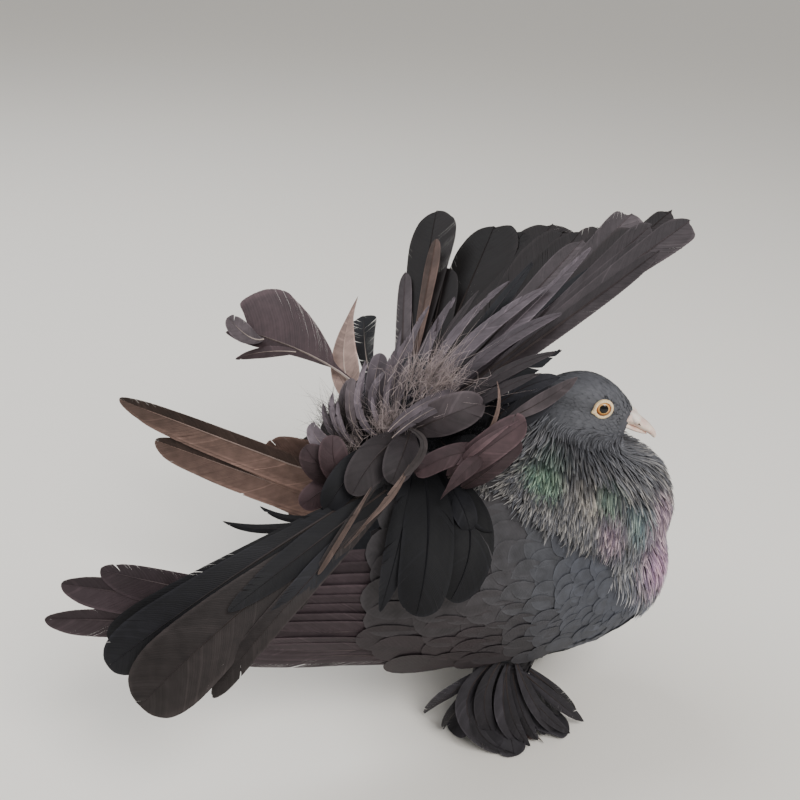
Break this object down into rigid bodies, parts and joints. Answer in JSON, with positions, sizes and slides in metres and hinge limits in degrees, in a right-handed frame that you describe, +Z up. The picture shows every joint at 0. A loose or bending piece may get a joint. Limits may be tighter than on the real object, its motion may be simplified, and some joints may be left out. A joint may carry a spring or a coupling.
{
  "type": "fantail pigeon model",
  "caption": "Life-size still model of a dark fantail pigeon standing with its fan of tail feathers thrown forward over its back and one part hanging over the wing.",
  "frame": {"origin": "middle of the bird's box, on the floor under it", "axes": "+X the way the body faces, +Y the bird's left, +Z up"},
  "size_m": [0.2998, 0.2382, 0.2724],
  "materials": {
    "body_feathers": "soft matt slate feathers",
    "neck_feathers": "streaky hackles with a green and purple sheen",
    "head_feathers": "short dense slate feathers",
    "wing_feathers": "dark brown-grey flight feathers and coverts",
    "tail_feathers": "black-brown tail feathers, satin",
    "leg_feathers": "dark short leg feathers",
    "foot_feathers": "dark muff feathers",
    "bill_horn": "pale pinkish horn",
    "eye": "wet orange iris with a black pupil"
  },
  "bodies": {
    "root": {"torso": "body_feathers", "neck": "neck_feathers", "head": "head_feathers", "bill_upper": "bill_horn", "bill_lower": "bill_horn", "eye_left": "eye", "eye_right": "eye", "wing_left": "wing_feathers", "wing_right": "wing_feathers", "tail_top": "tail_feathers", "tail_left": "tail_feathers", "tail_right": "tail_feathers", "leg_left": "leg_feathers", "leg_right": "leg_feathers", "foot_left": "foot_feathers", "foot_right": "foot_feathers"}
  },
  "joints": []
}
